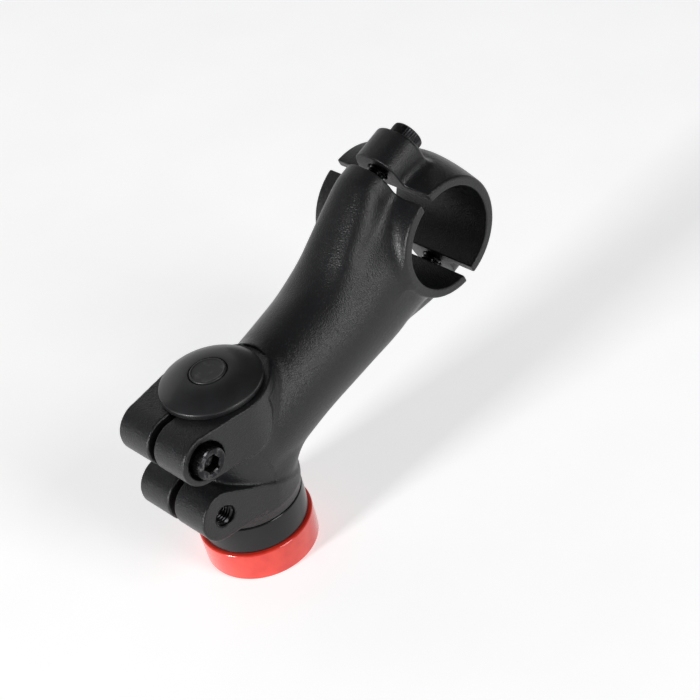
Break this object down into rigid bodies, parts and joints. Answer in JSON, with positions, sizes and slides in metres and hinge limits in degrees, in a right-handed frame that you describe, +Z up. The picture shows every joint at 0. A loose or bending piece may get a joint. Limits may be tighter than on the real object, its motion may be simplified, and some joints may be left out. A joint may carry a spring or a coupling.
{
  "type": "bicycle handlebar stem",
  "caption": "Threadless bicycle handlebar stem with a two-piece bar clamp, opposed pinch bolts, top cap and headset spacers.",
  "frame": {"origin": "on the steerer axis, at the underside of the spacer stack, where it stands on the headset's top cover", "axes": "+Z up the steerer axis, -Y forward to the handlebar, +X to the rider's left"},
  "size_m": [0.0384, 0.1306, 0.0979],
  "materials": {
    "satin_black": "satin black powder coat with a fine grain over forged alloy",
    "anodised_black": "black anodised",
    "gloss_black": "smooth semi-gloss black over alloy",
    "plug_grey": "dark grey moulded plastic",
    "gloss_red": "glossy red lacquer over alloy",
    "black_oxide": "black oxide steel with a light oil sheen",
    "zinc_steel": "zinc plated steel"
  },
  "bodies": {
    "stem": {"stem_body": "satin_black", "star_nut_hub": "zinc_steel", "star_nut_upper_leaf": "zinc_steel", "star_nut_lower_leaf": "zinc_steel"},
    "faceplate_group": {"faceplate": "satin_black", "faceplate_washer_upper": "black_oxide", "faceplate_washer_lower": "black_oxide"},
    "faceplate_screw_upper": {"faceplate_bolt_upper": "black_oxide"},
    "faceplate_screw_lower": {"faceplate_bolt_lower": "black_oxide"},
    "pinch_washer_upper_group": {"pinch_washer_upper": "black_oxide"},
    "pinch_screw_upper": {"pinch_bolt_upper": "black_oxide"},
    "pinch_washer_lower_group": {"pinch_washer_lower": "black_oxide"},
    "pinch_screw_lower": {"pinch_bolt_lower": "black_oxide"},
    "cap_group": {"top_cap": "gloss_black"},
    "plug_group": {"top_cap_plug": "plug_grey"},
    "preload_screw": {"preload_bolt": "black_oxide"},
    "red_ring": {"spacer_red": "gloss_red"},
    "black_ring": {"spacer_black": "anodised_black"}
  },
  "joints": [
    {"name": "faceplate_slide", "type": "slide", "parent": "stem", "child": "faceplate_group", "axis": [0, -0.9529, 0.3032], "range_m": [0, 0.008]},
    {"name": "faceplate_bolt_upper_turn", "type": "hinge", "parent": "faceplate_group", "child": "faceplate_screw_upper", "pos_m": [0, -0.08436, 0.09081], "axis": [0, -0.9529, 0.3032], "range_deg": [0, 2880]},
    {"name": "faceplate_bolt_lower_turn", "type": "hinge", "parent": "faceplate_group", "child": "faceplate_screw_lower", "pos_m": [0, -0.09746, 0.04964], "axis": [0, -0.9529, 0.3032], "range_deg": [0, 2880]},
    {"name": "pinch_bolt_upper_travel", "type": "slide", "parent": "stem", "child": "pinch_washer_upper_group", "axis": [-1, 0, 0], "range_m": [0, 0.008]},
    {"name": "pinch_bolt_upper_turn", "type": "hinge", "parent": "pinch_washer_upper_group", "child": "pinch_screw_upper", "pos_m": [0, 0.0177, 0.0544], "axis": [-1, 0, 0], "range_deg": [0, 2880]},
    {"name": "pinch_bolt_lower_travel", "type": "slide", "parent": "stem", "child": "pinch_washer_lower_group", "axis": [1, 0, 0], "range_m": [0, 0.008]},
    {"name": "pinch_bolt_lower_turn", "type": "hinge", "parent": "pinch_washer_lower_group", "child": "pinch_screw_lower", "pos_m": [0, 0.0177, 0.0325], "axis": [1, 0, 0], "range_deg": [0, 2880]},
    {"name": "top_cap_lift", "type": "slide", "parent": "stem", "child": "cap_group", "axis": [0, 0, 1], "range_m": [0, 0.012]},
    {"name": "preload_bolt_turn", "type": "hinge", "parent": "cap_group", "child": "preload_screw", "pos_m": [0, 0, 0.058], "axis": [0, 0, 1], "range_deg": [0, 4320]},
    {"name": "plug_pull", "type": "slide", "parent": "cap_group", "child": "plug_group", "axis": [0, 0, 1], "range_m": [0, 0.006]},
    {"name": "spacer_red_turn", "type": "hinge", "parent": "stem", "child": "red_ring", "pos_m": [0, 0, 0.005], "axis": [0, 0, 1], "continuous": true},
    {"name": "spacer_black_turn", "type": "hinge", "parent": "stem", "child": "black_ring", "pos_m": [0, 0, 0.015], "axis": [0, 0, 1], "continuous": true}
  ],
  "couplings": [
    {"joint": "faceplate_bolt_upper_turn", "follows": "faceplate_slide", "rad_per_m": 6283.2},
    {"joint": "faceplate_bolt_lower_turn", "follows": "faceplate_slide", "rad_per_m": 6283.2},
    {"joint": "pinch_bolt_upper_turn", "follows": "pinch_bolt_upper_travel", "rad_per_m": 6283.2},
    {"joint": "pinch_bolt_lower_turn", "follows": "pinch_bolt_lower_travel", "rad_per_m": 6283.2},
    {"joint": "preload_bolt_turn", "follows": "top_cap_lift", "rad_per_m": 6283.2}
  ]
}
